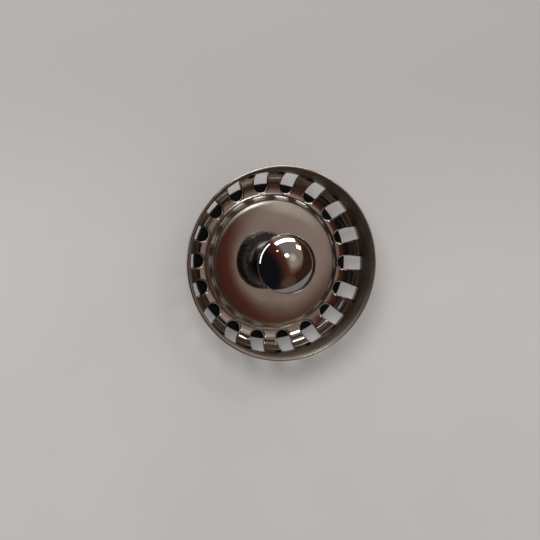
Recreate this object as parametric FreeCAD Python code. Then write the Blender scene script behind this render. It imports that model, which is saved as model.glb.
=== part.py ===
"""Sink strainer: a slotted basket that turns on a stopper unit with a knob and a ball-lock post.

Units are millimetres and degrees. +Z is up along the axis of the strainer, and the origin is at the
tip of the post. One slot of the basket and both detent balls lie on the X axis.
"""

import FreeCAD
import Part

import math
import os

V = FreeCAD.Vector
CENTRE = V(0, 0, 0)
UP = V(0, 0, 1)
FULL_TURN = 360
HEX_SIDES = 6

# Basket, from the rim inwards, with bend radii on the upper side of the sheet
RIM_RADIUS = 41.25
BASKET_DEPTH = 18.5
SHEET = 0.7
LIP_LENGTH = 1.6
LIP_ANGLE = 30
LIP_BEND = 1.0
WALL_ANGLE = 84
WALL_BEND = 8.6
CHANNEL_FLAT = 0.1
CHANNEL_BEND = 2.5
STEP_HEIGHT = 4.2
STEP_ANGLE = 86
FLOOR_EDGE_BEND = 1.5
FLOOR_SLOPE_RUN = 5.9
FLOOR_SLOPE_ANGLE = 12
FLOOR_BEND_SHARE = 0.2

# Slots of the basket
SLOT_COUNT = 18
SLOT_WIDTH = 5.6
SLOT_TOP = 7.9
SLOT_TIP_GAP = 0.1

# Knob
KNOB_RADIUS = 12.7
KNOB_HEIGHT = 18.1
CAP_RISE = 6.7
CAP_WALL = 0.6
BEAD_RADIUS = 0.15
FLANGE_DEPTH = 1.3
NECK_WALL = 1.83
NECK_TOP = 8.8
FOOT_OVERHANG = 1.8
FOOT_COVE = 3.6
FOOT_EDGE = 1.3
INSERT_WALL = 1.2
INSERT_LENGTH = 12.3

# Stud, bush and washers
STUD_RADIUS = 2.5
STUD_CHAMFER = 0.5
BUSH_WALL = 1.65
BUSH_SHOULDER = 2.6
WASHER_RADIUS = 12.0
WASHER_THICKNESS = 1.0
LOCK_WASHER_WALL = 2.0
LOCK_WASHER_THICKNESS = 1.2
LOCK_WASHER_SLIT = 0.5

# Stopper
STOPPER_RADIUS = 33.6
STOPPER_THICKNESS = 4.1
STOPPER_RECESS = 0.6
STOPPER_EDGE = 0.8
STOPPER_BEVEL = 1.4
PLATE_RADIUS = 20.0
PLATE_THICKNESS = 1.0
PLATE_EDGE = 0.4

# Ball-lock post, from its tip upwards
PIN_RADIUS = 4.0
PIN_NOSE = 1.6
BALL_RADIUS = 1.5875
BALL_HEIGHT = 4.5
BALL_LIP_SHARE = 0.95
BALL_LIP_DEPTH = 0.5
BALL_ZONE_MARGIN = 0.4125
BALL_ZONE_STEP = 0.2
JOURNAL_LENGTH = 2.85
HEX_OVERHANG = 1.0
HEX_HEIGHT = 4.0
HEX_CHAMFER = 0.5
BORE_ROOF = 0.95

# Detent spring
SPRING_WIRE = 0.34
SPRING_RADIUS = 1.0
SPRING_TURNS = 3
SPRING_PIECES_PER_TURN = 4
SPRING_SEARCH_SHARES = (0.8, 1.2)
SPRING_SEARCH_STEPS = 60

# Clearances
RUNNING_FIT = 0.08
BALL_FIT = 0.05
THREAD_FIT = 0.05
PRESS_FIT = 0.02
PLATE_FIT = 0.25
END_PLAY = 0.1
STOPPER_GAP = 1.3
SPRING_GAP = 0.05
STUD_END_GAP = 0.3

# Radii round the stud
stud_hole_radius = STUD_RADIUS + THREAD_FIT
bush_neck_radius = stud_hole_radius + BUSH_WALL
bush_shoulder_radius = bush_neck_radius + BUSH_SHOULDER
insert_radius = stud_hole_radius + INSERT_WALL
neck_radius = insert_radius + PRESS_FIT + NECK_WALL
foot_radius = neck_radius + FOOT_OVERHANG

# Heights of the post
ball_bore_radius = BALL_RADIUS + BALL_FIT
stud_base = BALL_HEIGHT + ball_bore_radius + BORE_ROOF + STUD_END_GAP
ball_zone_top = BALL_HEIGHT + ball_bore_radius + BALL_ZONE_MARGIN
journal_base = ball_zone_top + BALL_ZONE_STEP
hex_base = journal_base + JOURNAL_LENGTH
hex_top = hex_base + HEX_HEIGHT

# Heights of the stopper and the basket
plate_base = hex_top + LOCK_WASHER_THICKNESS
plate_top = plate_base + PLATE_THICKNESS
stopper_base = plate_top - STOPPER_RECESS
stopper_top = stopper_base + STOPPER_THICKNESS
washer_top = stopper_top + WASHER_THICKNESS
channel_height = stopper_top + STOPPER_GAP + SHEET
rim_height = channel_height + BASKET_DEPTH

# Corner points of the basket's upper side, from the rim inwards
lip_end_radius = RIM_RADIUS - SHEET * math.sin(math.radians(LIP_ANGLE))
lip_corner_radius = lip_end_radius - LIP_LENGTH * math.cos(math.radians(LIP_ANGLE))
lip_corner_height = rim_height - LIP_LENGTH * math.sin(math.radians(LIP_ANGLE))
wall_slope = math.tan(math.radians(WALL_ANGLE))
wall_foot_radius = lip_corner_radius - (lip_corner_height - channel_height) / wall_slope
channel_radius = wall_foot_radius - WALL_BEND * math.tan(math.radians(WALL_ANGLE / 2))
step_foot_radius = channel_radius - CHANNEL_FLAT - CHANNEL_BEND * math.tan(math.radians(STEP_ANGLE / 2))
floor_edge_radius = step_foot_radius - STEP_HEIGHT / math.tan(math.radians(STEP_ANGLE))
floor_edge_height = channel_height + STEP_HEIGHT
floor_corner_radius = floor_edge_radius - FLOOR_SLOPE_RUN
pad_height = floor_edge_height + FLOOR_SLOPE_RUN * math.tan(math.radians(FLOOR_SLOPE_ANGLE))
slot_tip_radius = channel_radius + SLOT_TIP_GAP
slot_end_radius = wall_foot_radius + SLOT_TOP / wall_slope

# Heights of the knob
shoulder_height = pad_height - SHEET - END_PLAY
foot_height = pad_height + END_PLAY
ring_height = foot_height + KNOB_HEIGHT
stud_top = foot_height + INSERT_LENGTH - STUD_END_GAP

# Places of the balls in the cross-bore, held in by the lip at each mouth
ball_zone_radius = PIN_RADIUS - BALL_ZONE_STEP
ball_lip_radius = BALL_RADIUS * BALL_LIP_SHARE
ball_lip_place = ball_zone_radius - BALL_LIP_DEPTH
ball_place = ball_lip_place - math.sqrt(BALL_RADIUS ** 2 - ball_lip_radius ** 2) - BALL_FIT
spring_reach = BALL_RADIUS + SPRING_WIRE / 2 + SPRING_GAP
spring_end = ball_place - math.sqrt(spring_reach ** 2 - SPRING_RADIUS ** 2)


def at(radius, height):
    """A point of the half plane in which turned profiles are drawn."""
    return V(radius, 0, height)


def line(start, end):
    return Part.LineSegment(start, end).toShape()


def arc(start, middle, end):
    return Part.Arc(start, middle, end).toShape()


def turned(edges):
    """The solid of one closed profile turned about the axis."""
    outline = Part.Wire(Part.__sortEdges__(edges))
    return Part.Face(outline).revolve(CENTRE, UP, FULL_TURN)


def turned_polygon(corners):
    """The solid of a profile with straight sides turned about the axis."""
    return turned([line(start, end) for start, end in zip(corners, corners[1:] + corners[:1])])


def drilled(solid, radius, low, high):
    """The solid with a round hole along the axis from one height to another."""
    return solid.cut(Part.makeCylinder(radius, high - low, at(0, low)))


def flat_ring(radius, low, thickness):
    """A washer round the stud."""
    disc = Part.makeCylinder(radius, thickness, at(0, low))
    return drilled(disc, stud_hole_radius, low, low + thickness)


def turn_direction(before, corner, after):
    """Positive where a path bends upwards, negative where it bends downwards."""
    first = corner - before
    second = after - corner
    return first.x * second.z - first.z * second.x


def bend_points(before, corner, after, radius):
    """Start, middle and end of the arc that rounds one corner of a path."""
    back = (before - corner).normalize()
    onward = (after - corner).normalize()
    half_angle = back.getAngle(onward) / 2
    reach = radius / math.tan(half_angle)
    middle = corner + (back + onward).normalize() * (radius / math.sin(half_angle) - radius)
    return corner + back * reach, middle, corner + onward * reach


def bent_path(corners, radii):
    """Straight runs and arcs along corner points, each inner corner with its bend radius."""
    edges = []
    start = corners[0]
    for i, radius in enumerate(radii, 1):
        first, middle, last = bend_points(corners[i - 1], corners[i], corners[i + 1], radius)
        edges.append(line(start, first))
        edges.append(arc(first, middle, last))
        start = last
    edges.append(line(start, corners[-1]))
    return edges


def path_below(corners, distance):
    """The corner points of the parallel path on the underside of a sheet."""
    runs = []
    for start, end in zip(corners, corners[1:]):
        along = (end - start).normalize()
        side = V(along.z, 0, -along.x) * distance
        runs.append((start + side, end + side, along))
    points = [runs[0][0]]
    for (start, _, first), (other, _, second) in zip(runs, runs[1:]):
        apart = other - start
        crossing = first.x * second.z - first.z * second.x
        points.append(start + first * ((apart.x * second.z - apart.z * second.x) / crossing))
    points.append(runs[-1][1])
    return points


def bent_sheet(corners, radii):
    """A turned sheet of even thickness, from the corner points and bends of its upper side."""
    below = path_below(corners, SHEET)
    below_radii = []
    for i, radius in enumerate(radii, 1):
        grows = turn_direction(corners[i - 1], corners[i], corners[i + 1]) > 0
        below_radii.append(radius + SHEET if grows else radius - SHEET)
    ends = [line(corners[-1], below[-1]), line(below[0], corners[0])]
    return turned(bent_path(corners, radii) + bent_path(below, below_radii) + ends)


def slot_punch(angle):
    """An upright punch with a round inner end and a square outer end."""
    half_width = SLOT_WIDTH / 2
    round_centre = slot_tip_radius + half_width
    inner_left = V(round_centre, half_width, 0)
    inner_right = V(round_centre, -half_width, 0)
    outer_left = V(slot_end_radius, half_width, 0)
    outer_right = V(slot_end_radius, -half_width, 0)
    outline = [
        arc(inner_right, V(slot_tip_radius, 0, 0), inner_left),
        line(inner_left, outer_left),
        line(outer_left, outer_right),
        line(outer_right, inner_right),
    ]
    punch = Part.Face(Part.Wire(outline)).extrude(UP * rim_height)
    punch.rotate(CENTRE, UP, angle)
    return punch


def basket():
    """The pressed bowl: a raised floor, a channel, a slotted wall and a turned-out lip."""
    floor_reach = FLOOR_BEND_SHARE * (floor_corner_radius - foot_radius)
    floor_bend = floor_reach / math.tan(math.radians(FLOOR_SLOPE_ANGLE / 2))
    corners = [
        at(bush_neck_radius + RUNNING_FIT, pad_height),
        at(floor_corner_radius, pad_height),
        at(floor_edge_radius, floor_edge_height),
        at(step_foot_radius, channel_height),
        at(wall_foot_radius, channel_height),
        at(lip_corner_radius, lip_corner_height),
        at(lip_end_radius, rim_height),
    ]
    shell = bent_sheet(corners, [floor_bend, FLOOR_EDGE_BEND, CHANNEL_BEND, WALL_BEND, LIP_BEND])
    return shell.cut([slot_punch(i * FULL_TURN / SLOT_COUNT) for i in range(SLOT_COUNT)])


def knob_cap():
    """A domed shell with a rolled bead round its mouth."""
    bead_centre = KNOB_RADIUS - BEAD_RADIUS
    dome_radius = (bead_centre ** 2 + CAP_RISE ** 2) / (2 * CAP_RISE)
    dome_centre = at(0, ring_height + CAP_RISE - dome_radius)
    ball = Part.makeSphere(dome_radius, dome_centre)
    hollow = Part.makeSphere(dome_radius - CAP_WALL, dome_centre)
    above = Part.makeCylinder(KNOB_RADIUS, CAP_RISE, at(0, ring_height))
    bead = Part.makeTorus(bead_centre, BEAD_RADIUS, at(0, ring_height))
    return ball.cut(hollow).common(above).fuse(bead).removeSplitter()


def knob_base():
    """The flared underside of the knob, from its foot to the flange that plugs the cap."""
    flange_radius = KNOB_RADIUS - 2 * BEAD_RADIUS - PRESS_FIT
    flange_base = ring_height - FLANGE_DEPTH
    flange_top = ring_height - BEAD_RADIUS / 2
    neck_top = foot_height + NECK_TOP
    spread = flange_radius - neck_radius
    climb = flange_base - neck_top
    flare = (spread ** 2 + climb ** 2) / (2 * spread)
    flare_angle = math.asin(climb / flare) / 2
    flare_middle = at(
        neck_radius + flare * (1 - math.cos(flare_angle)),
        neck_top + flare * math.sin(flare_angle),
    )
    cove_angle = math.acos(1 - FOOT_OVERHANG / FOOT_COVE)
    cove_top = foot_height + FOOT_EDGE + FOOT_COVE * math.sin(cove_angle)
    cove_middle = at(
        neck_radius + FOOT_COVE * (1 - math.cos(cove_angle / 2)),
        cove_top - FOOT_COVE * math.sin(cove_angle / 2),
    )
    foot_low = at(foot_radius, foot_height)
    foot_high = at(foot_radius, foot_height + FOOT_EDGE)
    neck_low = at(neck_radius, cove_top)
    neck_high = at(neck_radius, neck_top)
    flange_low = at(flange_radius, flange_base)
    flange_high = at(flange_radius, flange_top)
    body = turned([
        line(at(0, foot_height), foot_low),
        line(foot_low, foot_high),
        arc(foot_high, cove_middle, neck_low),
        line(neck_low, neck_high),
        arc(neck_high, flare_middle, flange_low),
        line(flange_low, flange_high),
        line(flange_high, at(0, flange_top)),
        line(at(0, flange_top), at(0, foot_height)),
    ])
    return drilled(body, insert_radius + PRESS_FIT, foot_height, foot_height + INSERT_LENGTH)


def knob_insert():
    """The threaded sleeve in the knob that the stud screws into."""
    sleeve = Part.makeCylinder(insert_radius, INSERT_LENGTH, at(0, foot_height))
    return drilled(sleeve, stud_hole_radius, foot_height, foot_height + INSERT_LENGTH)


def stud():
    """The rod that draws the whole stack together, between the knob and the post."""
    return turned_polygon([
        at(0, stud_base),
        at(STUD_RADIUS - STUD_CHAMFER, stud_base),
        at(STUD_RADIUS, stud_base + STUD_CHAMFER),
        at(STUD_RADIUS, stud_top - STUD_CHAMFER),
        at(STUD_RADIUS - STUD_CHAMFER, stud_top),
        at(0, stud_top),
    ])


def bearing_bush():
    """The sleeve that spaces the floor from the stopper, with the neck that the basket turns on."""
    return turned_polygon([
        at(stud_hole_radius, washer_top),
        at(bush_shoulder_radius, washer_top),
        at(bush_shoulder_radius, shoulder_height),
        at(bush_neck_radius, shoulder_height),
        at(bush_neck_radius, foot_height),
        at(stud_hole_radius, foot_height),
    ])


def backing_washer():
    return flat_ring(WASHER_RADIUS, stopper_top, WASHER_THICKNESS)


def stopper():
    """The rubber disc: a rounded upper edge, a bevel that seals in the drain, and a recess for the plate."""
    recess_radius = PLATE_RADIUS + PLATE_FIT
    bevel_low = at(STOPPER_RADIUS - STOPPER_BEVEL, stopper_base)
    bevel_high = at(STOPPER_RADIUS, stopper_base + STOPPER_BEVEL)
    top_corner = at(STOPPER_RADIUS, stopper_top)
    recess_edge = at(recess_radius, stopper_base)
    recess_corner = at(recess_radius, plate_top)
    hole_low = at(stud_hole_radius, plate_top)
    hole_high = at(stud_hole_radius, stopper_top)
    round_low, round_middle, round_high = bend_points(bevel_high, top_corner, hole_high, STOPPER_EDGE)
    return turned([
        line(hole_low, recess_corner),
        line(recess_corner, recess_edge),
        line(recess_edge, bevel_low),
        line(bevel_low, bevel_high),
        line(bevel_high, round_low),
        arc(round_low, round_middle, round_high),
        line(round_high, hole_high),
        line(hole_high, hole_low),
    ])


def stopper_plate():
    """The steel disc that presses the middle of the rubber up."""
    return turned_polygon([
        at(stud_hole_radius, plate_base),
        at(PLATE_RADIUS - PLATE_EDGE, plate_base),
        at(PLATE_RADIUS, plate_base + PLATE_EDGE),
        at(PLATE_RADIUS, plate_top),
        at(stud_hole_radius, plate_top),
    ])


def lock_washer():
    """A spring washer, cut through on one side."""
    radius = stud_hole_radius + LOCK_WASHER_WALL
    slit_corner = V(0, -LOCK_WASHER_SLIT / 2, hex_top)
    slit = Part.makeBox(radius, LOCK_WASHER_SLIT, LOCK_WASHER_THICKNESS, slit_corner)
    return flat_ring(radius, hex_top, LOCK_WASHER_THICKNESS).cut(slit)


def hex_head():
    """A six-sided head with its corners chamfered at both ends."""
    corner_radius = (PIN_RADIUS + HEX_OVERHANG) / math.cos(math.pi / HEX_SIDES)
    corners = []
    for i in range(HEX_SIDES):
        angle = 2 * math.pi * i / HEX_SIDES
        corners.append(V(corner_radius * math.cos(angle), corner_radius * math.sin(angle), hex_base))
    prism = Part.Face(Part.makePolygon(corners + corners[:1])).extrude(UP * HEX_HEIGHT)
    chamfered = turned_polygon([
        at(0, hex_base),
        at(corner_radius - HEX_CHAMFER, hex_base),
        at(corner_radius, hex_base + HEX_CHAMFER),
        at(corner_radius, hex_top - HEX_CHAMFER),
        at(corner_radius - HEX_CHAMFER, hex_top),
        at(0, hex_top),
    ])
    return prism.common(chamfered)


def lock_post():
    """The post that enters the drain: a hexagon, a journal and a nose with the cross-bore."""
    nose_flat = at(ball_zone_radius - PIN_NOSE, 0)
    nose_edge = at(ball_zone_radius, PIN_NOSE)
    nose_low, nose_middle, nose_high = bend_points(nose_flat, at(ball_zone_radius, 0), nose_edge, PIN_NOSE)
    zone_high = at(ball_zone_radius, ball_zone_top)
    journal_low = at(PIN_RADIUS, journal_base)
    journal_high = at(PIN_RADIUS, hex_base)
    pin = turned([
        line(CENTRE, nose_low),
        arc(nose_low, nose_middle, nose_high),
        line(nose_high, zone_high),
        line(zone_high, journal_low),
        line(journal_low, journal_high),
        line(journal_high, at(0, hex_base)),
        line(at(0, hex_base), CENTRE),
    ])
    body = pin.fuse(hex_head()).removeSplitter()
    body = drilled(body, stud_hole_radius, stud_base - STUD_END_GAP, hex_top)
    across = V(1, 0, 0)
    mouths = Part.makeCylinder(ball_lip_radius, 2 * PIN_RADIUS, V(-PIN_RADIUS, 0, BALL_HEIGHT), across)
    bore_start = V(-ball_lip_place, 0, BALL_HEIGHT)
    bore = Part.makeCylinder(ball_bore_radius, 2 * ball_lip_place, bore_start, across)
    return body.cut([mouths, bore])


def detent_ball_left():
    return Part.makeSphere(BALL_RADIUS, V(-ball_place, 0, BALL_HEIGHT))


def detent_ball_right():
    return Part.makeSphere(BALL_RADIUS, V(ball_place, 0, BALL_HEIGHT))


def coil_point(angle, radius, rise):
    """A point of the coil's centre line, which winds about the X axis through the balls."""
    return V(rise * angle, radius * math.cos(angle), BALL_HEIGHT + radius * math.sin(angle))


def arc_from(start, tangent, end):
    """The one arc that leaves a point along a tangent and reaches another, and its last direction."""
    chord = end - start
    along = V(chord).normalize()
    side = (tangent - along * tangent.dot(along)).normalize()
    swing = tangent.getAngle(chord)
    middle = start + chord / 2 + side * (chord.Length / 2 * math.tan(swing / 2))
    return arc(start, middle, end), along * (2 * tangent.dot(along)) - tangent


def coil_piece(angle, step, rise):
    """Two arcs that follow one stretch of the coil and run on smoothly into each other."""
    start = coil_point(angle, SPRING_RADIUS, rise)
    end = coil_point(angle + step, SPRING_RADIUS, rise)
    tangent = V(rise, -SPRING_RADIUS * math.sin(angle), SPRING_RADIUS * math.cos(angle)).normalize()
    half = angle + step / 2
    outward = V(0, math.cos(half), math.sin(half))
    low, high = [SPRING_RADIUS * share for share in SPRING_SEARCH_SHARES]
    for _ in range(SPRING_SEARCH_STEPS):
        radius = (low + high) / 2
        meeting = coil_point(half, radius, rise)
        first, leaving = arc_from(start, tangent, meeting)
        if leaving.dot(outward) > 0:
            high = radius
        else:
            low = radius
    second, _ = arc_from(meeting, leaving, end)
    return [first, second]


def least_gap(edges, pieces_apart):
    """The least distance between the coil's neighbouring turns, less the wire."""
    points = [edge.valueAt(edge.FirstParameter) for edge in edges]
    distances = [(a - b).Length for i, a in enumerate(points) for b in points[i + pieces_apart:]]
    return min(distances) - SPRING_WIRE


def detent_spring():
    """A round-wire coil that pushes the balls apart."""
    wound = SPRING_TURNS * 2 * math.pi
    rise = 2 * spring_end / wound
    step = 2 * math.pi / SPRING_PIECES_PER_TURN
    edges = []
    for i in range(SPRING_TURNS * SPRING_PIECES_PER_TURN):
        edges += coil_piece(i * step - wound / 2, step, rise)
    print("least gap of the spring to itself", round(least_gap(edges, SPRING_PIECES_PER_TURN), 3), "mm")
    start = edges[0].valueAt(edges[0].FirstParameter)
    heading = edges[0].tangentAt(edges[0].FirstParameter)
    section = Part.Wire(Part.makeCircle(SPRING_WIRE / 2, start, heading))
    return Part.Wire(edges).makePipeShell([section], True, False)


PIECES = [
    knob_cap,
    knob_base,
    knob_insert,
    stud,
    bearing_bush,
    basket,
    backing_washer,
    stopper,
    stopper_plate,
    lock_washer,
    lock_post,
    detent_spring,
    detent_ball_left,
    detent_ball_right,
]

os.makedirs("parts", exist_ok=True)
for piece in PIECES:
    shape = piece()
    shape.exportStep("parts/" + piece.__name__ + ".step")
    print(piece.__name__, "solids", len(shape.Solids), "valid", shape.isValid(), "volume", round(shape.Volume, 2))
print("journal from", round(journal_base, 3), "to", round(hex_base, 3), "stopper seat", round(stopper_base, 3))
print("ball place", round(ball_place, 3), "pad", round(pad_height, 3), "rim", round(rim_height, 3))
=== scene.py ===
import itertools
import math

import bpy
from mathutils import Matrix, Quaternion, Vector


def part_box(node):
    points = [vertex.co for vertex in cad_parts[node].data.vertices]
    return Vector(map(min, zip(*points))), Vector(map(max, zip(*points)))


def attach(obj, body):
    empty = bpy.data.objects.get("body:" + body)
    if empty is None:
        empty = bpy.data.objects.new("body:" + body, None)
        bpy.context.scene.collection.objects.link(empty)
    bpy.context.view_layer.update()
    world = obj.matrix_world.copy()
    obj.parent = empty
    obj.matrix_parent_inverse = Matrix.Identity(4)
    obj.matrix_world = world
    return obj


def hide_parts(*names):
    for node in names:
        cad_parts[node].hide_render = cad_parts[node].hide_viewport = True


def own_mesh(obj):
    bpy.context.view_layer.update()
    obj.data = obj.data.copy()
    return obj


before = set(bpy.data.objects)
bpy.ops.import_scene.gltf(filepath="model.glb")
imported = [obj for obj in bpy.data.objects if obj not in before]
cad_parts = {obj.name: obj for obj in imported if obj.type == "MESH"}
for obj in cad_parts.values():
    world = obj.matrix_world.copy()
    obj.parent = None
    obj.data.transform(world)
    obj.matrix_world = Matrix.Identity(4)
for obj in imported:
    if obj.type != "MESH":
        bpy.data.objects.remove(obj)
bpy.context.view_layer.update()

MM = 0.001
UP = Vector((0, 0, 1))

# View of the photograph, in pixels, metres and degrees
IMAGE_PIXELS = 540
PIXELS_PER_METRE = 2382.0
RIM_PIXEL = (283.35, 263.7)
CAMERA_DISTANCE = 0.7
CAMERA_TILT = 15.83
CAMERA_SIDE = 10.61
CAMERA_TURN = 1.34
CAMERA_NEAR = 0.01
SENSOR_MM = 36.0

# Basket, in millimetres and degrees
RIM_RADIUS = 41.25
BASKET_DEPTH = 18.5
SHEET = 0.7
LIP_LENGTH = 1.6
LIP_ANGLE = 30
LIP_BEND = 1.0
LIP_TOP_ROUND = 0.6
LIP_LOW_ROUND = 0.08
WALL_ANGLE = 84
WALL_BEND = 8.6
CHANNEL_FLAT = 0.1
CHANNEL_BEND = 2.5
STEP_HEIGHT = 4.2
STEP_ANGLE = 86
FLOOR_EDGE_BEND = 1.5
FLOOR_SLOPE_RUN = 5.9
FLOOR_SLOPE_ANGLE = 12
FLOOR_BEND = 45.0
FLOOR_HOLE_RADIUS = 4.28
SLOT_COUNT = 18
SLOT_WIDTH = 5.6
SLOT_TOP = 7.9
SLOT_TIP_GAP = 0.1
SLOT_ROUND = 0.9
SLOT_ROUND_DEPTH = 0.55
SLOT_ROUND_FADE = 3.0

# Knob, in millimetres
KNOB_RADIUS = 12.7
KNOB_HEIGHT = 18.1
CAP_RISE = 6.7
CAP_WALL = 0.6
BEAD_RADIUS = 0.15
FLANGE_RADIUS = 12.38
FLANGE_DEPTH = 1.3
FLANGE_EDGE = 0.5
NECK_RADIUS = 5.6
NECK_TOP = 8.8
FOOT_RADIUS = 7.4
FOOT_COVE = 3.6
FOOT_EDGE = 1.3
FOOT_ROUND = 0.3
FOOT_GAP = 0.1
BORE_RADIUS = 3.77
BORE_DEPTH = 12.3

# Detent spring, in millimetres
SPRING_WIRE = 0.34
SPRING_RADIUS = 1.0
SPRING_TURNS = 3
SPRING_END = 1.42
BALL_HEIGHT = 4.5

# Mesh steps
BEND_STEPS = 14
TIP_STEPS = 14
SIDE_STEPS = 26
LAND_STEPS = 8
SLOT_STEPS = 4
ROUND_STEPS = 6
LATHE_STEPS = 144
DOME_STEPS = 40
FLARE_STEPS = 20
COIL_STEPS_PER_TURN = 32
WIRE_STEPS = 12

# Joined corners: the decimal places that tell them apart, and a reach past the rounding, in millimetres
JOIN_DIGITS = 4
JOIN_REACH = 0.00001

# Least distance from a slot's two ends to the next row of the mesh, in millimetres
ROW_GAP = 0.09

rim_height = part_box("basket")[1].z / MM


def polar(azimuth, elevation):
    """A unit vector from an azimuth and an elevation in degrees."""
    a, e = math.radians(azimuth), math.radians(elevation)
    return Vector((math.cos(e) * math.cos(a), math.cos(e) * math.sin(a), math.sin(e)))


def spread(start, end, steps):
    """Evenly spaced values from start to end."""
    return [start + (end - start) * k / steps for k in range(steps + 1)]


# Meshes
class Shell:
    """Collects faces with a normal for each corner, and joins corners at the same place."""

    def __init__(self):
        self.places = []
        self.index = {}
        self.faces = []
        self.normals = []

    def corner(self, place):
        """The number of the corner at a place, which is new or there already."""
        near = [[round(c - JOIN_REACH, JOIN_DIGITS), round(c + JOIN_REACH, JOIN_DIGITS)] for c in place]
        keys = list(itertools.product(*near))
        for key in keys:
            if key in self.index:
                return self.index[key]
        for key in keys:
            self.index[key] = len(self.places)
        self.places.append(Vector(place) * MM)
        return self.index[keys[0]]

    def face(self, corners):
        """Add a face of (place, normal) pairs, wound so that it faces its normals."""
        picked = []
        for place, normal in corners:
            i = self.corner(place)
            if i not in [p[0] for p in picked]:
                picked.append((i, Vector(normal).normalized()))
        if len(picked) < 3:
            return
        a, b, c = (self.places[picked[k][0]] for k in (0, 1, -1))
        mean = sum((n for _, n in picked), Vector())
        if (b - a).cross(c - a).dot(mean) < 0:
            picked.reverse()
        self.faces.append([i for i, _ in picked])
        self.normals.extend(n for _, n in picked)

    def skin(self, rows):
        """Faces between each row of (place, normal) pairs and the next."""
        for first, second in zip(rows, rows[1:]):
            for k in range(len(first) - 1):
                self.face([first[k], first[k + 1], second[k + 1], second[k]])

    def build(self, name, body, replaced):
        """The finished piece, which rides on a body and stands for a node of the frame."""
        mesh = bpy.data.meshes.new(name)
        mesh.from_pydata(self.places, [], self.faces)
        mesh.polygons.foreach_set("use_smooth", [True] * len(mesh.polygons))
        mesh.normals_split_custom_set(self.normals)
        piece = bpy.data.objects.new(name, mesh)
        bpy.context.scene.collection.objects.link(piece)
        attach(piece, body)
        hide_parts(replaced)
        return piece


def bent_profile(corners, bends):
    """Points (r, z, nr, nz) along a line of corners with rounded bends, normals on the upper side."""
    heading = []
    for (r0, z0), (r1, z1) in zip(corners, corners[1:]):
        heading.append(math.atan2(z1 - z0, r1 - r0))
    points = [(*corners[0], -math.sin(heading[0]), math.cos(heading[0]))]
    for (r, z), bend, h0, h1 in zip(corners[1:-1], bends, heading, heading[1:]):
        reach = bend * math.tan(abs(h1 - h0) / 2)
        side = bend if h1 > h0 else -bend
        centre_r = r - reach * math.cos(h0) - side * math.sin(h0)
        centre_z = z - reach * math.sin(h0) + side * math.cos(h0)
        for h in spread(h0, h1, BEND_STEPS):
            points.append((
                centre_r + side * math.sin(h), centre_z - side * math.cos(h), -math.sin(h), math.cos(h)
            ))
    points.append((*corners[-1], -math.sin(heading[-1]), math.cos(heading[-1])))
    return points


def straight(start, end):
    """A straight run (r, z, nr, nz) with its normals to the right of its direction."""
    (r0, z0), (r1, z1) = start, end
    length = math.hypot(r1 - r0, z1 - z0)
    normal = ((z1 - z0) / length, (r0 - r1) / length)
    return [(r0, z0, *normal), (r1, z1, *normal)]


def curved(centre, radius, start, end, steps, facing):
    """A run along an arc, with normals that face away from its centre for 1 and towards it for -1."""
    points = []
    for turn in spread(start, end, steps):
        c, s = math.cos(turn), math.sin(turn)
        points.append((centre[0] + radius * c, centre[1] + radius * s, facing * c, facing * s))
    return points


def lathe(runs):
    """A shell of runs turned about the upright axis."""
    shell = Shell()
    turns = spread(0, 2 * math.pi, LATHE_STEPS)
    for run in runs:
        rings = []
        for r, z, nr, nz in run:
            ring = []
            for turn in turns:
                c, s = math.cos(turn), math.sin(turn)
                ring.append(((r * c, r * s, z), (nr * c, nr * s, nz)))
            rings.append(ring)
        shell.skin(rings)
    return shell


# Basket
channel_height = rim_height - BASKET_DEPTH
wall_slope = math.tan(math.radians(WALL_ANGLE))
lip_end_radius = RIM_RADIUS - SHEET * math.sin(math.radians(LIP_ANGLE))
lip_corner_radius = lip_end_radius - LIP_LENGTH * math.cos(math.radians(LIP_ANGLE))
lip_corner_height = rim_height - LIP_LENGTH * math.sin(math.radians(LIP_ANGLE))
wall_foot_radius = lip_corner_radius - (lip_corner_height - channel_height) / wall_slope
channel_radius = wall_foot_radius - WALL_BEND * math.tan(math.radians(WALL_ANGLE / 2))
channel_inner_radius = channel_radius - CHANNEL_FLAT
step_foot_radius = channel_inner_radius - CHANNEL_BEND * math.tan(math.radians(STEP_ANGLE / 2))
floor_edge_radius = step_foot_radius - STEP_HEIGHT / math.tan(math.radians(STEP_ANGLE))
floor_edge_height = channel_height + STEP_HEIGHT
floor_corner_radius = floor_edge_radius - FLOOR_SLOPE_RUN
pad_height = floor_edge_height + FLOOR_SLOPE_RUN * math.tan(math.radians(FLOOR_SLOPE_ANGLE))
slot_tip_radius = channel_radius + SLOT_TIP_GAP
slot_end_radius = wall_foot_radius + SLOT_TOP / wall_slope
slot_half = SLOT_WIDTH / 2
slot_centre_radius = slot_tip_radius + slot_half
slot_end_angle = math.asin(slot_half / slot_end_radius)
half_sector = math.pi / SLOT_COUNT


def sheet_point(radius, below):
    """Height and normal of the channel and the slotted zone, on the upper side or a distance below it."""
    if radius < channel_inner_radius:
        bend = CHANNEL_BEND + below
        sine = (channel_inner_radius - radius) / bend
        cosine = math.sqrt(1 - sine * sine)
        return channel_height + CHANNEL_BEND - bend * cosine, sine, cosine
    bend = WALL_BEND + below
    sine = min(max((radius - channel_radius) / bend, 0), math.sin(math.radians(WALL_ANGLE)))
    cosine = math.sqrt(1 - sine * sine)
    height = channel_height + WALL_BEND - bend * cosine
    rest = radius - channel_radius - bend * sine
    if rest > 0:
        height += rest * wall_slope
    return height, -sine, cosine


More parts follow.
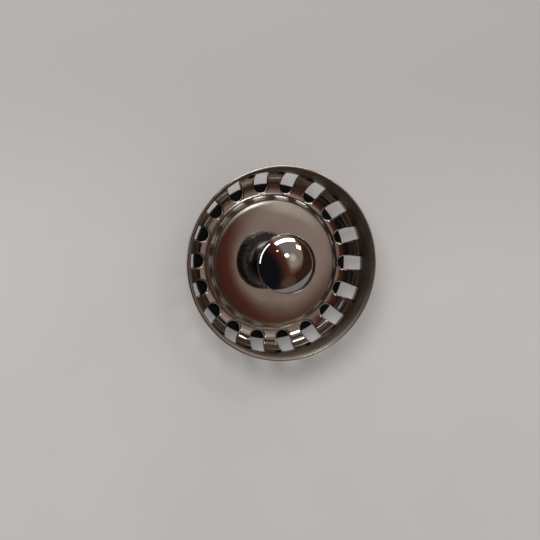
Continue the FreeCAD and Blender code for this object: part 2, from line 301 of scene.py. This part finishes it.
def slot_outline(spare):
    """Half of a slot's outline, made wider by spare, as (x, y, share of the edge's rounding)."""
    outline = []
    end_x = math.sqrt(slot_end_radius ** 2 - slot_half ** 2)
    reach = slot_half + spare
    for k in range(TIP_STEPS):
        turn = math.pi / 2 * k / TIP_STEPS
        outline.append((slot_centre_radius - reach * math.cos(turn), reach * math.sin(turn), 1.0))
    for k in range(SIDE_STEPS + 1):
        x = slot_centre_radius + (end_x - slot_centre_radius) * math.sin(math.pi / 2 * k / SIDE_STEPS)
        share = min((end_x - x) / SLOT_ROUND_FADE, 1.0)
        outline.append((x, slot_half + spare * share, share))
    return outline


def into_slot(x, y):
    """The level direction from a place on a slot's outline into the slot."""
    if x < slot_centre_radius:
        return Vector((slot_centre_radius - x, -y, 0)).normalized()
    return Vector((0, -1, 0))


def placed(half, x, y, z, normal):
    """A (place, normal) pair of a half sector, which is given as its sector and its side, 1 or -1."""
    sector, mirror = half
    turn = 2 * half_sector * sector
    c, s = math.cos(turn), math.sin(turn)
    nx, ny, nz = normal
    y, ny = y * mirror, ny * mirror
    return (x * c - y * s, x * s + y * c, z), (nx * c - ny * s, nx * s + ny * c, nz)


def row(half, point, angles):
    """A row of (place, normal) pairs across a half sector, at one point of the sheet's profile."""
    r, z, nr, nz = point
    pairs = []
    for a in angles:
        normal = (nr * math.cos(a), nr * math.sin(a), nz)
        pairs.append(placed(half, r * math.cos(a), r * math.sin(a), z, normal))
    return pairs


def basket_sides():
    """For each side of the sheet, its points inside the slots, along a slot's outline and outside them."""
    corners = [
        (FLOOR_HOLE_RADIUS, pad_height),
        (floor_corner_radius, pad_height),
        (floor_edge_radius, floor_edge_height),
        (step_foot_radius, channel_height),
        (wall_foot_radius, channel_height),
        (lip_corner_radius, lip_corner_height),
        (lip_end_radius, rim_height),
    ]
    upper = bent_profile(corners, [FLOOR_BEND, FLOOR_EDGE_BEND, CHANNEL_BEND, WALL_BEND, LIP_BEND])
    lower = [(r - SHEET * nr, z - SHEET * nz, -nr, -nz) for r, z, nr, nz in upper]
    sides = []
    for points, below, spare, facing in ((upper, 0, SLOT_ROUND, 1), (lower, SHEET, 0, -1)):
        inner = [p for p in points if p[0] < slot_tip_radius - spare - ROW_GAP]
        outer = [p for p in points if p[0] > slot_end_radius + ROW_GAP]
        middle = []
        for x, y, _ in slot_outline(spare):
            radius = math.hypot(x, y)
            height, nr, nz = sheet_point(radius, below)
            middle.append(((radius, height, facing * nr, facing * nz), math.atan2(y, x)))
        sides.append((inner, middle, outer))
    return sides


def rounded_end(first, last):
    """The rounded end of the lip, from its upper to its lower side."""
    (r0, z0, nr, nz), (r1, z1, _, _) = first, last
    out_r, out_z = nz, -nr
    points = []
    for r, z, side, radius in ((r0, z0, 1, LIP_TOP_ROUND), (r1, z1, -1, LIP_LOW_ROUND)):
        centre_r = r - radius * (out_r + side * nr)
        centre_z = z - radius * (out_z + side * nz)
        for turn in spread(0, math.pi / 2, ROUND_STEPS)[::side]:
            across, along = side * math.cos(turn), math.sin(turn)
            normal_r, normal_z = nr * across + out_r * along, nz * across + out_z * along
            points.append((centre_r + radius * normal_r, centre_z + radius * normal_z, normal_r, normal_z))
    return points


def add_sheet_half(shell, half, sides):
    """Both sides of the sheet in a half sector, with its lip and the edge of its hole."""
    plain = spread(0, half_sector, LAND_STEPS)
    wide = spread(0, slot_end_angle, SLOT_STEPS)[:-1] + spread(slot_end_angle, half_sector, LAND_STEPS)
    for inner, middle, outer in sides:
        rows = [row(half, p, plain) for p in inner]
        rows += [row(half, p, spread(a, half_sector, LAND_STEPS)) for p, a in middle]
        shell.skin(rows)
        shell.skin([row(half, p, wide) for p in [middle[-1][0]] + outer[:-1]])
    (upper_inner, _, upper_outer), (lower_inner, _, lower_outer) = sides
    lip = rounded_end(upper_outer[-1], lower_outer[-1])
    shell.skin([row(half, p, wide) for p in [upper_outer[-2]] + lip + [lower_outer[-2]]])
    hole = [(r, z, -1, 0) for r, z, _, _ in (upper_inner[0], lower_inner[0])]
    shell.skin([row(half, p, plain) for p in hole])


def rolled_pair(half, turn, wide_point, cut_point):
    """A pair on a slot's rolled edge, which runs from the sheet, at turn 0, to the cut, at a quarter turn."""
    (wide_x, wide_y, share), (cut_x, cut_y, _) = wide_point, cut_point
    blend = 1 - math.sin(turn)
    x, y = cut_x + (wide_x - cut_x) * blend, cut_y + (wide_y - cut_y) * blend
    radius = math.hypot(x, y)
    height, nr, nz = sheet_point(radius, 0)
    normal = Vector((nr * x / radius, nr * y / radius, nz))
    place = Vector((x, y, height)) - normal * (SLOT_ROUND_DEPTH * share * (1 - math.cos(turn)))
    shade = normal * math.cos(turn) + into_slot(cut_x, cut_y) * math.sin(turn)
    return placed(half, *place, shade)


def add_slot_half(shell, half):
    """The rolled edge, the cut side and the square end of half a slot."""
    wide_outline = slot_outline(SLOT_ROUND)
    cut_outline = slot_outline(0)
    edge_rows = []
    for turn in spread(0, math.pi / 2, ROUND_STEPS):
        edge_rows.append([rolled_pair(half, turn, *points) for points in zip(wide_outline, cut_outline)])
    shell.skin(edge_rows)
    cut_top = []
    cut_low = []
    for (place, _), (x, y, _) in zip(edge_rows[-1], cut_outline):
        height, _, _ = sheet_point(math.hypot(x, y), SHEET)
        low = placed(half, x, y, height, into_slot(x, y))
        cut_top.append((place, low[1]))
        cut_low.append(low)
    shell.skin([cut_top, cut_low])
    ends = []
    for below in (0, SHEET):
        height, _, _ = sheet_point(slot_end_radius, below)
        ends.append(row(half, (slot_end_radius, height, -1, 0), spread(0, slot_end_angle, SLOT_STEPS)))
    shell.skin(ends)


def add_basket():
    """The pressed bowl, meshed as two mirrored halves of each sector, from its slot to a land's middle."""
    shell = Shell()
    sides = basket_sides()
    for sector in range(SLOT_COUNT):
        for mirror in (1, -1):
            add_sheet_half(shell, (sector, mirror), sides)
            add_slot_half(shell, (sector, mirror))
    return shell.build("basket_bowl", "basket", "basket")


# Knob
foot_height = pad_height + FOOT_GAP
ring_height = foot_height + KNOB_HEIGHT
bead_centre = KNOB_RADIUS - BEAD_RADIUS
dome_radius = (bead_centre ** 2 + CAP_RISE ** 2) / (2 * CAP_RISE)
dome_height = ring_height + CAP_RISE - dome_radius


def add_knob_cap():
    """A domed shell with a rolled bead round its mouth."""
    inside = dome_radius - CAP_WALL
    mouth = math.asin((ring_height - dome_height) / inside)
    mouth_radius = inside * math.cos(mouth)
    dome_start = math.asin((ring_height - dome_height) / dome_radius) + BEAD_RADIUS / dome_radius
    join_r = dome_radius * math.cos(dome_start) - bead_centre
    join_z = dome_radius * math.sin(dome_start) + dome_height - ring_height
    join = 2 * math.pi + math.atan2(join_z, join_r)
    centre = (0, dome_height)
    shell = lathe([
        straight((mouth_radius, ring_height), (bead_centre - BEAD_RADIUS, ring_height)),
        curved((bead_centre, ring_height), BEAD_RADIUS, math.pi, join, DOME_STEPS, 1),
        curved(centre, dome_radius, dome_start, math.pi / 2, DOME_STEPS, 1),
        curved(centre, inside, math.pi / 2, mouth, DOME_STEPS, -1),
    ])
    return shell.build("knob_dome", "stopper_unit", "knob_cap")


def add_knob_base():
    """The flared underside of the knob, from its foot to the flange that plugs the cap."""
    flange_base = ring_height - FLANGE_DEPTH
    flange_top = ring_height - BEAD_RADIUS / 2
    neck_top = foot_height + NECK_TOP
    overhang = FOOT_RADIUS - NECK_RADIUS
    cove_angle = math.acos(1 - overhang / FOOT_COVE)
    cove_top = foot_height + FOOT_EDGE + FOOT_COVE * math.sin(cove_angle)
    out = FLANGE_RADIUS - NECK_RADIUS
    climb = flange_base - neck_top
    flare = (out ** 2 + climb ** 2) / (2 * out)
    foot_round = (FOOT_RADIUS - FOOT_ROUND, foot_height + FOOT_ROUND)
    cove_centre = (NECK_RADIUS + FOOT_COVE, cove_top)
    flare_centre = (NECK_RADIUS + flare, neck_top)
    edge_radius = FLANGE_RADIUS - FLANGE_EDGE
    edge_height = neck_top + math.sqrt((flare + FLANGE_EDGE) ** 2 - (flare_centre[0] - edge_radius) ** 2)
    meet = math.atan2(edge_height - neck_top, edge_radius - flare_centre[0])
    bore_top = foot_height + BORE_DEPTH
    shell = lathe([
        straight((BORE_RADIUS, foot_height), (foot_round[0], foot_height)),
        curved(foot_round, FOOT_ROUND, -math.pi / 2, 0, ROUND_STEPS, 1),
        straight((FOOT_RADIUS, foot_round[1]), (FOOT_RADIUS, foot_height + FOOT_EDGE)),
        curved(cove_centre, FOOT_COVE, math.pi + cove_angle, math.pi, FLARE_STEPS, -1),
        straight((NECK_RADIUS, cove_top), (NECK_RADIUS, neck_top)),
        curved(flare_centre, flare, math.pi, meet, FLARE_STEPS, -1),
        curved((edge_radius, edge_height), FLANGE_EDGE, meet - math.pi, 0, ROUND_STEPS, 1),
        straight((FLANGE_RADIUS, edge_height), (FLANGE_RADIUS, flange_top)),
        straight((FLANGE_RADIUS, flange_top), (0, flange_top)),
        straight((0, bore_top), (BORE_RADIUS, bore_top)),
        straight((BORE_RADIUS, bore_top), (BORE_RADIUS, foot_height)),
    ])
    return shell.build("knob_underside", "stopper_unit", "knob_base")


def add_spring():
    """The coil between the balls, wound about the X axis."""
    shell = Shell()
    count = SPRING_TURNS * COIL_STEPS_PER_TURN
    wound = 2 * math.pi * SPRING_TURNS
    rings = []
    for k in range(count + 1):
        turn = wound * k / count - wound / 2
        radial = Vector((0, math.cos(turn), math.sin(turn)))
        round_x = Vector((0, -math.sin(turn), math.cos(turn)))
        along = Vector((2 * SPRING_END / wound, 0, 0)) + round_x * SPRING_RADIUS
        side = along.normalized().cross(radial)
        centre = Vector((2 * SPRING_END * turn / wound, 0, BALL_HEIGHT)) + radial * SPRING_RADIUS
        ring = []
        for angle in spread(0, 2 * math.pi, WIRE_STEPS):
            normal = radial * math.cos(angle) + side * math.sin(angle)
            ring.append((centre + normal * SPRING_WIRE / 2, normal))
        rings.append(ring)
    shell.skin(rings)
    for ring, facing in ((rings[0], -1), (rings[-1], 1)):
        shell.face([(place, (facing, 0, 0)) for place, _ in ring[:-1]])
    piece = shell.build("spring_coil", "stopper_unit", "detent_spring")
    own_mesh(piece)
    return piece


# Materials, with noise as (scale per metre, detail), ranges as (low, high) and depths in metres
WHOLE = (0, 1)
RAMP_MIDDLE_SHARE = 0.5


def add_node(tree, kind, sockets=None, **settings):
    """Add a node, set its properties, and fill its sockets with values or with other nodes' outputs."""
    node = tree.nodes.new("ShaderNode" + kind)
    for name, value in settings.items():
        setattr(node, name, value)
    for key, value in (sockets or {}).items():
        if isinstance(value, bpy.types.NodeSocket):
            tree.links.new(value, node.inputs[key])
        else:
            node.inputs[key].default_value = value
    return node


def mixed(tree, share, first, second):
    """A colour between two colours, which are values or other nodes' outputs."""
    colors = [c if isinstance(c, bpy.types.NodeSocket) else (*c, 1) for c in (first, second)]
    return add_node(tree, "Mix", {0: share, 6: colors[0], 7: colors[1]}, data_type="RGBA").outputs[2]


def ranged(tree, value, source, target):
    """A value moved smoothly from one (low, high) range to another."""
    return add_node(tree, "MapRange", {
        "Value": value, "From Min": source[0], "From Max": source[1],
        "To Min": target[0], "To Max": target[1],
    }, interpolation_type="SMOOTHSTEP").outputs["Result"]


def calculated(tree, operation, first, second):
    """A value worked out from two others, which are numbers or other nodes' outputs."""
    return add_node(tree, "Math", {0: first, 1: second}, operation=operation).outputs[0]


def noise(tree, place, scale, detail):
    """Soft cloudy noise over a place."""
    return add_node(tree, "TexNoise", {"Vector": place, "Scale": scale, "Detail": detail}).outputs["Fac"]


def line_noise(tree, distance, scale, detail):
    """Noise along a distance."""
    sockets = {"W": distance, "Scale": scale, "Detail": detail}
    return add_node(tree, "TexNoise", sockets, noise_dimensions="1D").outputs["Fac"]


def add_relief(tree, shader, height, strength, depth):
    """Give a shader a fine relief."""
    bump = add_node(tree, "Bump", {"Strength": strength, "Distance": depth, "Height": height})
    tree.links.new(bump.outputs["Normal"], shader.inputs["Normal"])


def new_material(name, metallic):
    """A material with its tree, its shader and the places on the object."""
    material = bpy.data.materials.new(name)
    material.use_nodes = True
    tree = material.node_tree
    shader = tree.nodes["Principled BSDF"]
    shader.inputs["Metallic"].default_value = metallic
    place = add_node(tree, "TexCoord").outputs["Object"]
    return material, tree, shader, place


def axis_distance(tree, place):
    """How far a place is from the upright axis."""
    level = add_node(tree, "VectorMath", {0: place, 1: (1, 1, 0)}, operation="MULTIPLY").outputs["Vector"]
    return add_node(tree, "VectorMath", {0: level}, operation="LENGTH").outputs["Value"]


def along_radius(tree, distance, stops):
    """A value that follows the distance from the axis by (millimetres, value) stops."""
    reach = stops[-1][0]
    ramp = add_node(tree, "ValToRGB", {0: calculated(tree, "DIVIDE", distance, reach * MM)})
    elements = ramp.color_ramp.elements
    while len(elements) < len(stops):
        elements.new(RAMP_MIDDLE_SHARE)
    for element, (radius, value) in zip(elements, stops):
        element.position = radius / reach
        element.color = (value, value, value, 1)
    return ramp.outputs["Color"]


# Stainless sheet, whose roughness and brown painted shade follow the distance from the axis in millimetres
SHEET_CLEAN = (0.62, 0.595, 0.565)
SHEET_WORN = (0.56, 0.53, 0.495)
# Brown of the painted shade in the channel and on the wall band under the lip
SHEET_SHADE_BROWN = (0.35, 0.29, 0.218)
SHEET_DIRT = (0.16, 0.10, 0.07)
SHEET_FINISH = (
    (24.6, 0.075), (25.9, 0.26), (26.6, 0.40), (27.8, 0.34), (28.6, 0.24), (30.0, 0.22), (31.2, 0.06),
    (38.0, 0.06), (38.7, 0.34), (39.5, 0.56), (40.35, 0.56), (40.5, 0.15), (40.95, 0.15), (41.3, 0.2),
)
# Painted shade: how strongly the brown darkens the sheet, by distance from the axis, in the channel and on
# the wall band under the lip
SHEET_PAINTED_SHADE = (
    (26.0, 0.0), (26.7, 0.8), (27.6, 0.7), (28.5, 0.0), (37.6, 0.05),
    (38.6, 0.7), (40.3, 0.7), (40.5, 0.0), (41.3, 0.0),
)
WEAR_NOISE = (120, 4)
WEAR_RANGE = (0.35, 0.7)
DULL_RANGE = (0.3, 0.75)
DULL_SHARES = (0.85, 1.2)
SPECK_NOISE = (1900, 1)
SPECK_RANGE = (0.73, 0.76)
SPECK_SHARES = (0, 0.5)
PATCH_NOISE = (55, 2)
PATCH_RANGE = (0.5, 0.68)
RING_NOISE = (5200, 2)
RING_STRENGTH = 0.04
RING_DEPTH = 0.00002


def stainless_sheet():
    """Polished sheet, duller in the channel and on the rim and darkened there by a brown painted shade, with
    cloudy wear and dark specks.
    """
    material, tree, shader, place = new_material("stainless_sheet", 1)
    distance = axis_distance(tree, place)
    clouds = noise(tree, place, *WEAR_NOISE)
    clean = mixed(tree, ranged(tree, clouds, WEAR_RANGE, WHOLE), SHEET_CLEAN, SHEET_WORN)
    # The brown painted shade laid over the clean sheet
    with_painted_shade = mixed(tree, along_radius(tree, distance, SHEET_PAINTED_SHADE), clean, SHEET_SHADE_BROWN)
    specks = ranged(tree, noise(tree, place, *SPECK_NOISE), SPECK_RANGE, SPECK_SHARES)
    patches = ranged(tree, noise(tree, place, *PATCH_NOISE), PATCH_RANGE, WHOLE)
    dirt = calculated(tree, "MULTIPLY", specks, patches)
    tree.links.new(mixed(tree, dirt, with_painted_shade, SHEET_DIRT), shader.inputs["Base Color"])
    dulled = ranged(tree, clouds, DULL_RANGE, DULL_SHARES)
    rough = calculated(tree, "MULTIPLY", along_radius(tree, distance, SHEET_FINISH), dulled)
    tree.links.new(rough, shader.inputs["Roughness"])
    add_relief(tree, shader, line_noise(tree, distance, *RING_NOISE), RING_STRENGTH, RING_DEPTH)
    return material


# Bright plating
CHROME = (0.74, 0.73, 0.715)
CHROME_SMEARED = (0.66, 0.65, 0.63)
CHROME_ROUGHNESS = (0.02, 0.07)
SMEAR_NOISE = (260, 5)
SMEAR_RANGE = (0.5, 0.75)
SMEAR_DULL_RANGE = (0.4, 0.8)


def bright_chrome():
    """Mirror plating with a few dull smears."""
    material, tree, shader, place = new_material("bright_chrome", 1)
    clouds = noise(tree, place, *SMEAR_NOISE)
    smear = ranged(tree, clouds, SMEAR_RANGE, WHOLE)
    tree.links.new(mixed(tree, smear, CHROME, CHROME_SMEARED), shader.inputs["Base Color"])
    tree.links.new(ranged(tree, clouds, SMEAR_DULL_RANGE, CHROME_ROUGHNESS), shader.inputs["Roughness"])
    return material


# Moulded rubber
RUBBER = (0.0022, 0.0021, 0.0021)
RUBBER_BLOOM = (0.005, 0.0048, 0.0046)
RUBBER_ROUGHNESS = (0.55, 0.72)
RUBBER_SPECULAR = 0.12
BLOOM_NOISE = (140, 4)
BLOOM_RANGE = (0.35, 0.75)
GRAIN_NOISE = (4200, 2)
GRAIN_STRENGTH = 0.25
GRAIN_DEPTH = 0.00004


def moulded_rubber():
    """Black rubber with a fine moulded grain and a greyish bloom."""
    material, tree, shader, place = new_material("moulded_rubber", 0)
    bloom = ranged(tree, noise(tree, place, *BLOOM_NOISE), BLOOM_RANGE, WHOLE)
    tree.links.new(mixed(tree, bloom, RUBBER, RUBBER_BLOOM), shader.inputs["Base Color"])
    tree.links.new(ranged(tree, bloom, WHOLE, RUBBER_ROUGHNESS), shader.inputs["Roughness"])
    shader.inputs["Specular IOR Level"].default_value = RUBBER_SPECULAR
    add_relief(tree, shader, noise(tree, place, *GRAIN_NOISE), GRAIN_STRENGTH, GRAIN_DEPTH)
    return material


# Turned metals: colour, colour of the tarnish, and roughness where there is none
CASTING = ((0.24, 0.24, 0.242), (0.185, 0.183, 0.181), 0.27)
BRASS = ((0.72, 0.56, 0.30), (0.46, 0.33, 0.16), 0.16)
STEEL = ((0.60, 0.585, 0.565), (0.46, 0.44, 0.41), 0.22)
WIRE = ((0.56, 0.55, 0.54), (0.40, 0.38, 0.36), 0.2)
TARNISH_NOISE = (240, 5)
TARNISH_RANGE = (0.42, 0.75)
TARNISH_ROUGHNESS = 0.14
MARK_NOISE = (6500, 2)
MARK_STRENGTH = 0.12
MARK_DEPTH = 0.00003


def turned_metal(name, color, stain, rough):
    """Turned metal with fine tool marks round the axis and some tarnish."""
    material, tree, shader, place = new_material(name, 1)
    height = add_node(tree, "SeparateXYZ", {0: place}).outputs["Z"]
    across = calculated(tree, "ADD", axis_distance(tree, place), height)
    tarnish = ranged(tree, noise(tree, place, *TARNISH_NOISE), TARNISH_RANGE, WHOLE)
    tree.links.new(mixed(tree, tarnish, color, stain), shader.inputs["Base Color"])
    roughness = ranged(tree, tarnish, WHOLE, (rough, rough + TARNISH_ROUGHNESS))
    tree.links.new(roughness, shader.inputs["Roughness"])
    add_relief(tree, shader, line_noise(tree, across, *MARK_NOISE), MARK_STRENGTH, MARK_DEPTH)
    return material


def dress():
    """Give each piece and each node of the frame its material."""
    chrome = bright_chrome()
    cast = turned_metal("plated_casting", *CASTING)
    brass = turned_metal("turned_brass", *BRASS)
    stamped = turned_metal("stamped_steel", *STEEL)
    wire = turned_metal("spring_wire", *WIRE)
    rubber = moulded_rubber()
    finishes = {
        "knob_insert": brass, "stud": stamped, "bearing_bush": brass, "backing_washer": stamped,
        "stopper": rubber, "stopper_plate": stamped, "lock_washer": stamped, "lock_post": brass,
        "detent_ball_left": chrome, "detent_ball_right": chrome,
    }
    for name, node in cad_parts.items():
        node.data.materials.clear()
        node.data.materials.append(finishes.get(name, stamped))
    add_basket().data.materials.append(stainless_sheet())
    add_knob_cap().data.materials.append(chrome)
    add_knob_base().data.materials.append(cast)
    add_spring().data.materials.append(wire)


# Floor, with sizes and places in metres; what the metal mirrors of it fades out between its two ends
TABLE_SIZE = 12
TABLE_ENDS = (0.16, 0.26)
# Painted shade: between these two places along Y the table turns to the darker colour below
TABLE_BACK = (-0.02, 0.09)
TABLE = (0.485, 0.464, 0.45)
TABLE_CLOUDED = (0.51, 0.489, 0.474)
TABLE_PAINTED_SHADE = (0.415, 0.393, 0.380)
TABLE_NOISE = (9, 5)
TABLE_RANGE = (0.3, 0.7)
TABLE_ROUGHNESS = 0.75
TABLE_SPECULAR = 0.2


def add_floor():
    """A pale table top, slightly cloudy, with a painted shade that makes it a little darker behind."""
    bpy.ops.mesh.primitive_plane_add(size=TABLE_SIZE, location=(0, 0, 0))
    floor = bpy.context.object
    floor.name = "floor"
    material, tree, shader, place = new_material("pale_table", 0)
    clouds = ranged(tree, noise(tree, place, *TABLE_NOISE), TABLE_RANGE, WHOLE)
    near = mixed(tree, clouds, TABLE, TABLE_CLOUDED)
    # Painted shade: the table darkens further behind
    across = add_node(tree, "SeparateXYZ", {0: place}).outputs["Y"]
    behind = ranged(tree, across, TABLE_BACK, WHOLE)
    tree.links.new(mixed(tree, behind, near, TABLE_PAINTED_SHADE), shader.inputs["Base Color"])
    shader.inputs["Roughness"].default_value = TABLE_ROUGHNESS
    shader.inputs["Specular IOR Level"].default_value = TABLE_SPECULAR
    far = ranged(tree, axis_distance(tree, place), TABLE_ENDS, WHOLE)
    mirrored = add_node(tree, "LightPath").outputs["Is Glossy Ray"]
    ended = calculated(tree, "MULTIPLY", far, mirrored)
    open_air = add_node(tree, "BsdfTransparent").outputs[0]
    choice = add_node(tree, "MixShader", {0: ended, 1: shader.outputs[0], 2: open_air}).outputs[0]
    tree.links.new(choice, tree.nodes["Material Output"].inputs["Surface"])
    floor.data.materials.append(material)


# Light: patches of the room as azimuth, elevation, inner and outer angle in degrees, and colour
ROOM = (0.006, 0.0065, 0.008)
WALLS = (
    (22, -8, 92, 134, (0.090, 0.029, 0.020)),
    (-8, 8, 36, 60, (0.036, 0.017, 0.011)),
    (-74, 26, 4, 26, (0.08, 0.054, 0.038)),
    (-56, -36, 46, 50, (0.21, 0.205, 0.195)),
)
CEILING = (0.24, 0.18, 0.145)
CEILING_PATCHES = (
    (82, 34, 8, 30, (0.195, 0.185, 0.172)),
    (12, 64, 4, 22, (0.32, 0.247, 0.215)),
    (43, 59, 0, 15, (0.52, 0.455, 0.40)),
)

# Sides of the ceiling, as the azimuth and elevation that each side faces and its softness in degrees
CEILING_SIDES = ((22, -8, 8), (106, 24, 16), (148, 50, 6))
QUARTER_TURN = 90

# Even light, for rays that come from a dull surface or have met one before
EVEN_LIGHT = (1.0, 0.985, 0.97)
EVEN_STRENGTH = 0.54
HALF_BOUNCE = 0.5


def patch_share(tree, direction, azimuth, elevation, inner, outer):
    """How far a direction is inside a round patch of the room, from 0 to 1."""
    sockets = {0: direction, 1: polar(azimuth, elevation)}
    toward = add_node(tree, "VectorMath", sockets, operation="DOT_PRODUCT").outputs["Value"]
    edges = (math.cos(math.radians(outer)), math.cos(math.radians(inner)))
    return ranged(tree, toward, edges, WHOLE)


def patched(tree, direction, color, patches):
    """A colour of the room with its patches laid over it."""
    for azimuth, elevation, inner, outer, tint in patches:
        color = mixed(tree, patch_share(tree, direction, azimuth, elevation, inner, outer), color, tint)
    return color


def add_world():
    """A dim warm room with a paler ceiling for the metal to mirror, and an even light for the rest."""
    world = bpy.data.worlds.new("world")
    bpy.context.scene.world = world
    world.use_nodes = True
    world.cycles.sampling_method = "NONE"
    tree = world.node_tree
    tree.nodes.clear()
    direction = add_node(tree, "TexCoord").outputs["Generated"]
    walls = patched(tree, direction, ROOM, WALLS)
    ceiling = patched(tree, direction, CEILING, CEILING_PATCHES)
    inside = 1
    for azimuth, elevation, softness in CEILING_SIDES:
        edges = (QUARTER_TURN - softness, QUARTER_TURN + softness)
        within = patch_share(tree, direction, azimuth, elevation, *edges)
        inside = calculated(tree, "MULTIPLY", inside, within)
    seen = add_node(tree, "Background", {"Color": mixed(tree, inside, walls, ceiling)}).outputs[0]
    even = add_node(tree, "Background", {"Color": (*EVEN_LIGHT, 1), "Strength": EVEN_STRENGTH}).outputs[0]
    path = add_node(tree, "LightPath").outputs
    direct = calculated(tree, "MAXIMUM", path["Is Camera Ray"], path["Is Glossy Ray"])
    shown = calculated(tree, "MAXIMUM", direct, path["Is Transmission Ray"])
    unlit = calculated(tree, "LESS_THAN", path["Diffuse Depth"], HALF_BOUNCE)
    share = calculated(tree, "MULTIPLY", shown, unlit)
    choice = add_node(tree, "MixShader", {0: share, 1: even, 2: seen}).outputs[0]
    add_node(tree, "OutputWorld", {"Surface": choice})


# Lamps: name, shape, azimuth, elevation, width, height, roll, radiance, and whether metal mirrors it
LAMPS = (
    ("overhead", "ELLIPSE", 144, 64, 18, 18, 0, 14.5, False),
    ("window", "RECTANGLE", 86, 9, 54, 12, 16, 5.0, True),
    ("side_window", "RECTANGLE", 47, 18, 13, 11, 25, 4.0, True),
    ("far_window", "RECTANGLE", 152, 3, 58, 4, 0, 2.6, True),
    ("ceiling_lamp", "ELLIPSE", 84, 62, 13, 11, 0, 5.0, True),
    ("small_lamp", "ELLIPSE", 121, 39, 4, 4, 0, 4.0, True),
)
LAMP_DISTANCE = 1.2


def add_lamp(name, shape, azimuth, elevation, wide, tall, roll, radiance, mirrored):
    """A soft lamp towards the basket, with its place, width, height and roll given as angles in degrees."""
    direction = polar(azimuth, elevation)
    width = 2 * LAMP_DISTANCE * math.tan(math.radians(wide / 2))
    height = 2 * LAMP_DISTANCE * math.tan(math.radians(tall / 2))
    data = bpy.data.lights.new(name, "AREA")
    data.shape = shape
    data.size, data.size_y = width, height
    data.energy = radiance * math.pi * width * height
    lamp = bpy.data.objects.new(name, data)
    bpy.context.scene.collection.objects.link(lamp)
    lamp.location = direction * LAMP_DISTANCE + UP * rim_height * MM
    turn = direction.to_track_quat("Z", "Y") @ Quaternion((0, 0, 1), math.radians(roll))
    lamp.rotation_euler = turn.to_euler()
    lamp.visible_camera = False
    lamp.visible_glossy = mirrored


def add_camera():
    """A camera above the strainer, on the side to which the photograph's view leans."""
    tilt, side = math.radians(CAMERA_TILT), math.radians(CAMERA_SIDE)
    back = Vector((-math.sin(tilt) * math.cos(side), math.sin(tilt) * math.sin(side), math.cos(tilt)))
    turn = math.radians(CAMERA_TURN)
    right = Vector((-math.sin(turn), math.cos(turn), 0)).cross(back).normalized()
    up = back.cross(right)
    centre = IMAGE_PIXELS / 2
    aim = UP * rim_height * MM
    aim -= right * ((RIM_PIXEL[0] - centre) / PIXELS_PER_METRE)
    aim -= up * ((centre - RIM_PIXEL[1]) / PIXELS_PER_METRE)
    data = bpy.data.cameras.new("camera")
    data.sensor_width = SENSOR_MM
    data.lens = SENSOR_MM * PIXELS_PER_METRE * CAMERA_DISTANCE / IMAGE_PIXELS
    data.clip_start = CAMERA_NEAR
    camera = bpy.data.objects.new("camera", data)
    bpy.context.scene.collection.objects.link(camera)
    axes = Matrix((right, up, back)).transposed().to_4x4()
    camera.matrix_world = Matrix.Translation(aim + back * CAMERA_DISTANCE) @ axes
    bpy.context.scene.camera = camera


dress()
add_floor()
add_world()
for lamp in LAMPS:
    add_lamp(*lamp)
add_camera()
bpy.context.scene.view_settings.view_transform = "Standard"
